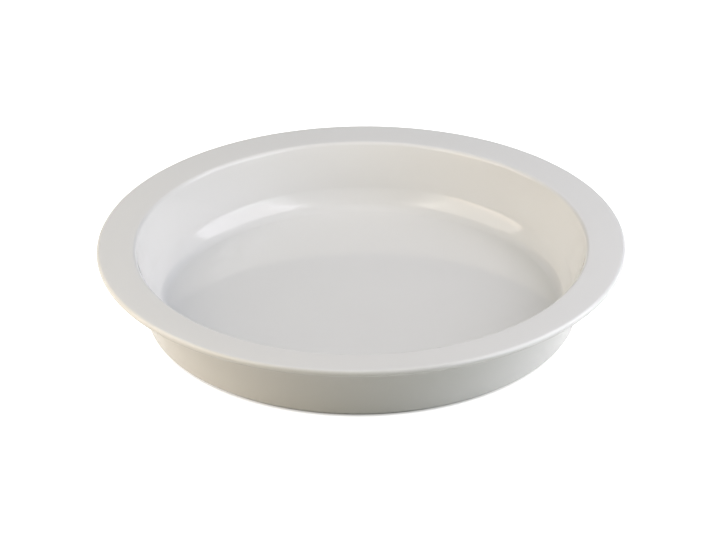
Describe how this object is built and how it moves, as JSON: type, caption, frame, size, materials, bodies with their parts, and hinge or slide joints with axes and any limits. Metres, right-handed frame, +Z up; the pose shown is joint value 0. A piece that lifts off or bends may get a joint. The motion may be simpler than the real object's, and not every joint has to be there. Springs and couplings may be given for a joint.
{
  "type": "round porcelain buffet dish insert",
  "caption": "Deep round white porcelain serving dish with a flat floor, leaning wall, broad flat flange to hang it by and a low foot ring to stand it on.",
  "frame": {"origin": "middle of the foot ring, on the table", "axes": "+Z up along the dish's axis; the dish is the same all round, so +X and +Y are any two level directions at right angles"},
  "size_m": [0.39, 0.39, 0.0579],
  "materials": {
    "glazed_porcelain": "clear gloss glaze on a white body, with the foot ring's contact face left bare"
  },
  "bodies": {
    "root": {"porcelain_dish": "glazed_porcelain"}
  },
  "joints": []
}
